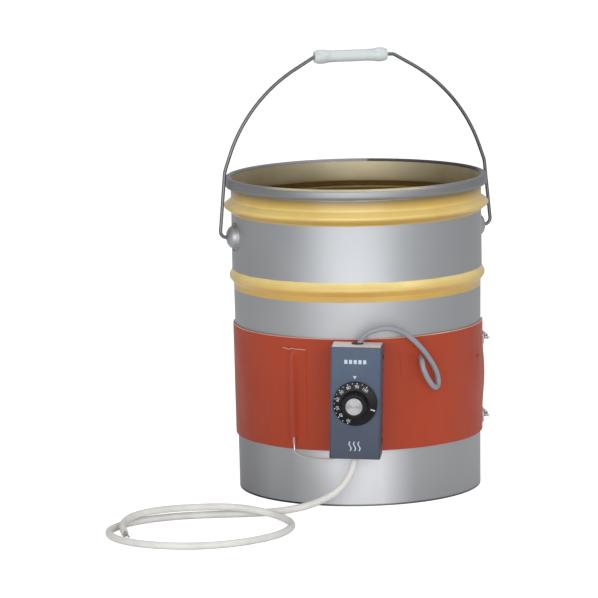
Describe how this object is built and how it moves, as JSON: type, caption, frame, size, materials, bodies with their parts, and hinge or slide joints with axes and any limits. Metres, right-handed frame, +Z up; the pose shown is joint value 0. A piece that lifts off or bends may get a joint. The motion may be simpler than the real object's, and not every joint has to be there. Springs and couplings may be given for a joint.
{
  "type": "pail heater",
  "caption": "Open steel pail in a spring-fastened silicone heater band with a dial control box, sensor pocket, lead, mains cord and swinging bail.",
  "frame": {"origin": "on the pail's axis, in the plane that it stands on", "axes": "+Z up along the pail's axis; -Y the way the control box faces; +X to the right of somebody who faces the box"},
  "size_m": [0.4117, 0.5222, 0.5023],
  "materials": {
    "steel_bare": "bright tinned sheet",
    "gold_lacquer": "clear gold lacquer",
    "yellow_paint": "gloss",
    "ear_steel": "bright",
    "bail_steel": "drawn wire",
    "black_moulding": "gloss",
    "white_moulding": "smooth gloss",
    "silicone_rubber": "fine woven texture",
    "dark_rivet": "satin",
    "spring_steel": "bright wire",
    "hook_steel": "zinc plated",
    "rivet_steel": "plain",
    "copper": "drawn copper",
    "pale_sleeve": "braided",
    "cream_paint": "semi gloss",
    "grey_paint": "semi gloss",
    "screw_steel": "plated",
    "black_rubber": "matt",
    "control_moulding": "matt",
    "nut_brass": "plain",
    "spindle_steel": "turned",
    "spun_aluminium": "turned rings",
    "terminal_moulding": "matt",
    "clamp_moulding": "matt",
    "lead_silicone": "satin",
    "white_sheath": "satin",
    "brown_sheath": "satin",
    "blue_sheath": "satin",
    "green_yellow_sheath": "satin"
  },
  "bodies": {
    "pail": {"pail_shell": "steel_bare", "pail_base": "gold_lacquer", "upper_paint": "yellow_paint", "lower_paint": "yellow_paint", "left_ear": "ear_steel", "right_ear": "ear_steel", "heater_band": "silicone_rubber", "end_rivet": "dark_rivet", "upper_spring": "spring_steel", "lower_spring": "spring_steel", "upper_front_hook": "hook_steel", "upper_rear_hook": "hook_steel", "lower_front_hook": "hook_steel", "lower_rear_hook": "hook_steel", "hook_rivets": "rivet_steel", "sensor_pocket": "silicone_rubber", "sensor_bulb": "copper", "capillary": "copper", "capillary_sleeve": "pale_sleeve", "lead_patch": "silicone_rubber", "box_pad": "silicone_rubber", "box_rivets": "rivet_steel", "box_chassis": "cream_paint", "box_cover": "grey_paint", "cover_screws": "screw_steel", "lead_grommet": "black_rubber", "cord_grommet": "black_rubber", "control_body": "control_moulding", "bush_nut": "nut_brass", "terminal_block": "terminal_moulding", "cord_clamp": "clamp_moulding", "heater_lead": "lead_silicone", "mains_cord": "white_sheath", "brown_core": "brown_sheath", "blue_core": "blue_sheath", "earth_core": "green_yellow_sheath"},
    "bail": {"bail_wire": "bail_steel"},
    "grip": {"bail_grip": "white_moulding"},
    "dial": {"spindle": "spindle_steel", "dial_knob": "black_moulding", "knob_cap": "spun_aluminium"}
  },
  "joints": [
    {"name": "bail_swing", "type": "hinge", "parent": "pail", "child": "bail", "pos_m": [0, 0, 0.293], "axis": [0.9455, 0.3256, 0], "range_deg": [-131, 115]},
    {"name": "grip_spin", "type": "hinge", "parent": "bail", "child": "grip", "pos_m": [0, 0, 0.494], "axis": [0.9455, 0.3256, 0], "continuous": true},
    {"name": "dial_turn", "type": "hinge", "parent": "pail", "child": "dial", "pos_m": [0.0086, -0.19, 0.1255], "axis": [0, -1, 0], "range_deg": [-157.5, 107.5]}
  ]
}
